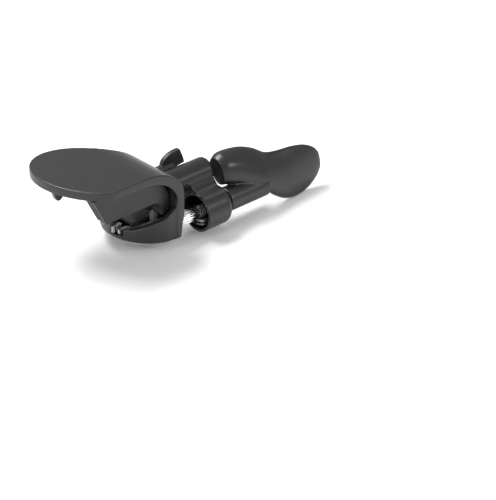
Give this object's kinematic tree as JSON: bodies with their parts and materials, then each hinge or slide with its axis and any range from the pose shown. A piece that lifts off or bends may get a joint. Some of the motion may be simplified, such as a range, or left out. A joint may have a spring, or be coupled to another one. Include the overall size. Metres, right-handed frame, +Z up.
{
  "type": "manual can opener",
  "caption": "Side-cutting manual can opener: palm plate on a loop, lid shoe with pincer, drive roller and cutter under a bell, twisted key handle.",
  "frame": {"origin": "point on the flat underside of the sole plate, below the key shaft's axis and 17 mm inward from the middle of the drive roller", "axes": "+X outward along the key shaft, +Y away from the loop's open side, +Z up from the can's lid"},
  "size_m": [0.1446, 0.0535, 0.0424],
  "materials": {
    "black_plastic": "satin, fine moulded texture",
    "lever_plastic": "matt moulded plastic",
    "brushed_steel": "brushed stainless steel",
    "hardened_chrome": "hardened and chromed steel",
    "oiled_bronze": "oil-filled sintered bronze"
  },
  "bodies": {
    "housing": {"bridge_screw": "brushed_steel", "carriage_spring": "brushed_steel", "fixed_jaw": "brushed_steel", "inner_bush": "oiled_bronze", "jaw_pin": "brushed_steel", "jaw_spacer": "brushed_steel", "jaw_spring": "brushed_steel", "lever_pin": "brushed_steel", "lever_spring": "brushed_steel", "outer_bush": "oiled_bronze", "outer_housing": "black_plastic", "palm_body": "black_plastic", "shoe_cover": "black_plastic", "side_panel": "black_plastic", "sole_plate": "brushed_steel", "sole_screw_1": "brushed_steel", "sole_screw_2": "brushed_steel", "sole_screw_3": "brushed_steel", "tab_hook": "black_plastic"},
    "drive": {"drive_shaft": "brushed_steel", "drive_roller": "hardened_chrome", "shaft_clip": "brushed_steel", "inner_washer": "brushed_steel", "key_washer": "brushed_steel", "key_pin": "brushed_steel", "key_handle": "black_plastic"},
    "carriage": {"cutter_carriage": "brushed_steel", "cutter_axle": "brushed_steel"},
    "cutter": {"cutting_wheel": "hardened_chrome"},
    "lever": {"thumb_lever": "lever_plastic"},
    "jaw": {"lid_jaw": "brushed_steel"}
  },
  "joints": [
    {"name": "key_turn", "type": "hinge", "parent": "housing", "child": "drive", "pos_m": [0.01, 0, 0.0068], "axis": [1, 0, 0], "continuous": true},
    {"name": "cutter_feed", "type": "slide", "parent": "housing", "child": "carriage", "axis": [1, 0, 0], "range_m": [-0.0028, 0], "stiffness_N_per_m": 250, "deforming": ["carriage_spring"]},
    {"name": "cutter_spin", "type": "hinge", "parent": "carriage", "child": "cutter", "pos_m": [0.0246, 0, 0.001], "axis": [0, 0, 1], "continuous": true},
    {"name": "lever_press", "type": "hinge", "parent": "housing", "child": "lever", "pos_m": [0.02, 0.0206, 0.0206], "axis": [1, 0, 0], "range_deg": [0, 25], "stiffness_Nm_per_rad": 0.02},
    {"name": "jaw_close", "type": "hinge", "parent": "housing", "child": "jaw", "pos_m": [0.0022, 0.0066, 0.005], "axis": [0, 0, 1], "range_deg": [-6, 0], "stiffness_Nm_per_rad": 0.005}
  ],
  "couplings": [
    {"joint": "jaw_close", "follows": "lever_press", "ratio": -0.24}
  ]
}
